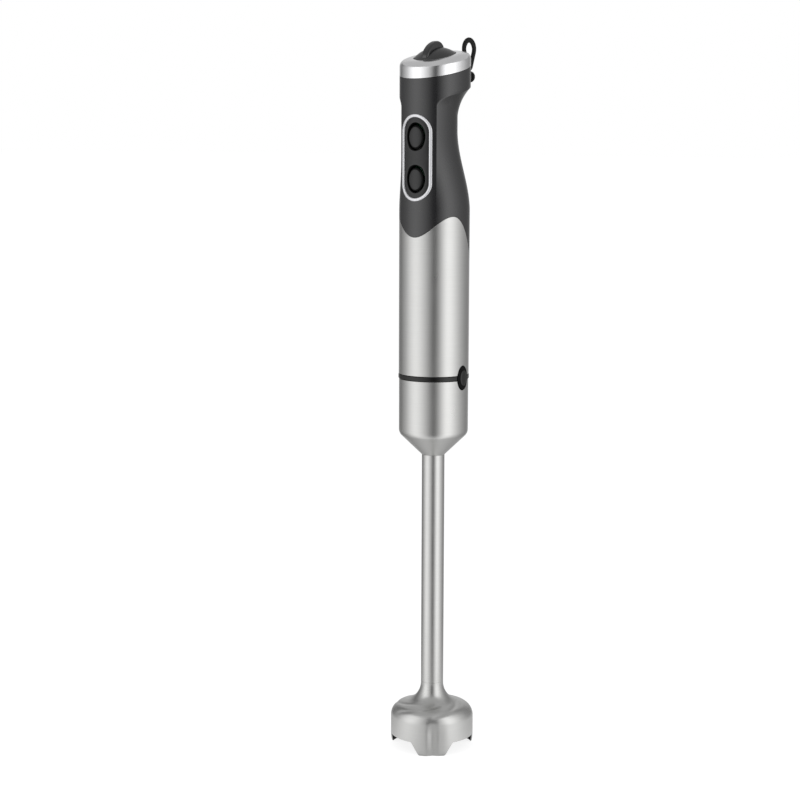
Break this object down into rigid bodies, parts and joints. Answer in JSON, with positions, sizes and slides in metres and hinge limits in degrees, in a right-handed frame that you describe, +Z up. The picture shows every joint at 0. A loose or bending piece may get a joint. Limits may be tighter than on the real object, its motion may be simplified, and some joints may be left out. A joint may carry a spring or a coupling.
{
  "type": "immersion blender",
  "caption": "Hand-held stick blender with a long steel blending leg, a bell guard on feet, two push buttons, a top speed dial and a hanging loop.",
  "frame": {"origin": "on the shaft axis, in the plane that the bell guard's feet stand on", "axes": "+Z up the shaft, -Y towards the push buttons, +Y towards the cord gland, +X and -X towards the release buttons"},
  "size_m": [0.0574, 0.0779, 0.4908],
  "materials": {
    "steel": "satin",
    "blade_steel": "polished",
    "bright_trim": "satin",
    "soft_grip": "soft-touch matt",
    "gloss_black": "semi-gloss",
    "dial_plastic": "fine-grained matt",
    "black_rubber": "matt",
    "inner_plastic": "moulded",
    "bronze": "sintered",
    "spring_steel": "bright wire",
    "board": "solder mask",
    "electric_plastic": "moulded",
    "fan_plastic": "moulded",
    "core_iron": "varnished laminations",
    "copper": "enamelled copper",
    "bracket_alloy": "die cast",
    "bearing_steel": "ground",
    "brush_plastic": "moulded",
    "carbon": "pressed carbon"
  },
  "bodies": {
    "leg": {"bell_guard": "steel", "shaft_tube": "steel", "foot_collar": "steel", "collar_socket": "inner_plastic", "upper_bush": "bronze", "lower_bush": "bronze", "shaft_seal": "black_rubber"},
    "blade_line": {"drive_shaft": "blade_steel", "drive_socket": "inner_plastic", "blade_hub": "blade_steel", "blade": "blade_steel", "blade_nut": "blade_steel"},
    "motor_unit": {"joint_ring": "black_rubber", "motor_base": "inner_plastic", "steel_sleeve": "steel", "motor_housing": "inner_plastic", "handle_front": "soft_grip", "handle_rear": "soft_grip", "button_bezel": "bright_trim", "button_panel": "gloss_black", "high_spring": "spring_steel", "low_spring": "spring_steel", "release_spring_right": "spring_steel", "release_spring_left": "spring_steel", "cap_ring": "bright_trim", "cap_plate": "inner_plastic", "speed_pot": "electric_plastic", "neck_frame": "inner_plastic", "control_board": "board", "switches": "electric_plastic", "cord_gland": "black_rubber", "hanging_loop": "black_rubber", "cord_clamp": "inner_plastic", "field_stack": "core_iron", "field_coils": "copper", "lower_bracket": "bracket_alloy", "upper_bracket": "bracket_alloy", "lower_bearing": "bearing_steel", "upper_bearing": "bearing_steel", "brush_holders": "brush_plastic", "carbon_brushes": "carbon", "housing_screws": "spring_steel"},
    "rotor": {"rotor_shaft": "blade_steel", "armature": "core_iron", "commutator": "copper", "cooling_fan": "fan_plastic", "motor_coupling": "inner_plastic"},
    "dial": {"speed_dial": "dial_plastic", "dial_spindle": "blade_steel"},
    "high_button_body": {"high_button": "gloss_black"},
    "low_button_body": {"low_button": "gloss_black"},
    "release_right_body": {"release_button_right": "gloss_black"},
    "release_left_body": {"release_button_left": "gloss_black"}
  },
  "joints": [
    {"name": "motor_unit_lift", "type": "slide", "parent": "leg", "child": "motor_unit", "axis": [0, 0, 1], "range_m": [0, 0.06]},
    {"name": "rotor_spin", "type": "hinge", "parent": "motor_unit", "child": "rotor", "pos_m": [0, 0, 0.3], "axis": [0, 0, 1], "continuous": true},
    {"name": "blade_spin", "type": "hinge", "parent": "leg", "child": "blade_line", "pos_m": [0, 0, 0.1], "axis": [0, 0, 1], "continuous": true},
    {"name": "dial_turn", "type": "hinge", "parent": "motor_unit", "child": "dial", "pos_m": [0, 0.00155, 0.46779], "axis": [0, -0.2419, 0.9703], "range_deg": [-135, 135]},
    {"name": "high_press", "type": "slide", "parent": "motor_unit", "child": "high_button_body", "axis": [0, 1, 0], "range_m": [0, 0.0015], "stiffness_N_per_m": 700, "springref_m": -0.002, "deforming": ["high_spring"]},
    {"name": "low_press", "type": "slide", "parent": "motor_unit", "child": "low_button_body", "axis": [0, 1, 0], "range_m": [0, 0.0015], "stiffness_N_per_m": 700, "springref_m": -0.002, "deforming": ["low_spring"]},
    {"name": "release_right_press", "type": "slide", "parent": "motor_unit", "child": "release_right_body", "axis": [-1, 0, 0], "range_m": [0, 0.0018], "stiffness_N_per_m": 900, "springref_m": -0.002, "deforming": ["release_spring_right"]},
    {"name": "release_left_press", "type": "slide", "parent": "motor_unit", "child": "release_left_body", "axis": [1, 0, 0], "range_m": [0, 0.0018], "stiffness_N_per_m": 900, "springref_m": -0.002, "deforming": ["release_spring_left"]}
  ],
  "couplings": [
    {"joint": "blade_spin", "follows": "rotor_spin", "ratio": 1}
  ]
}
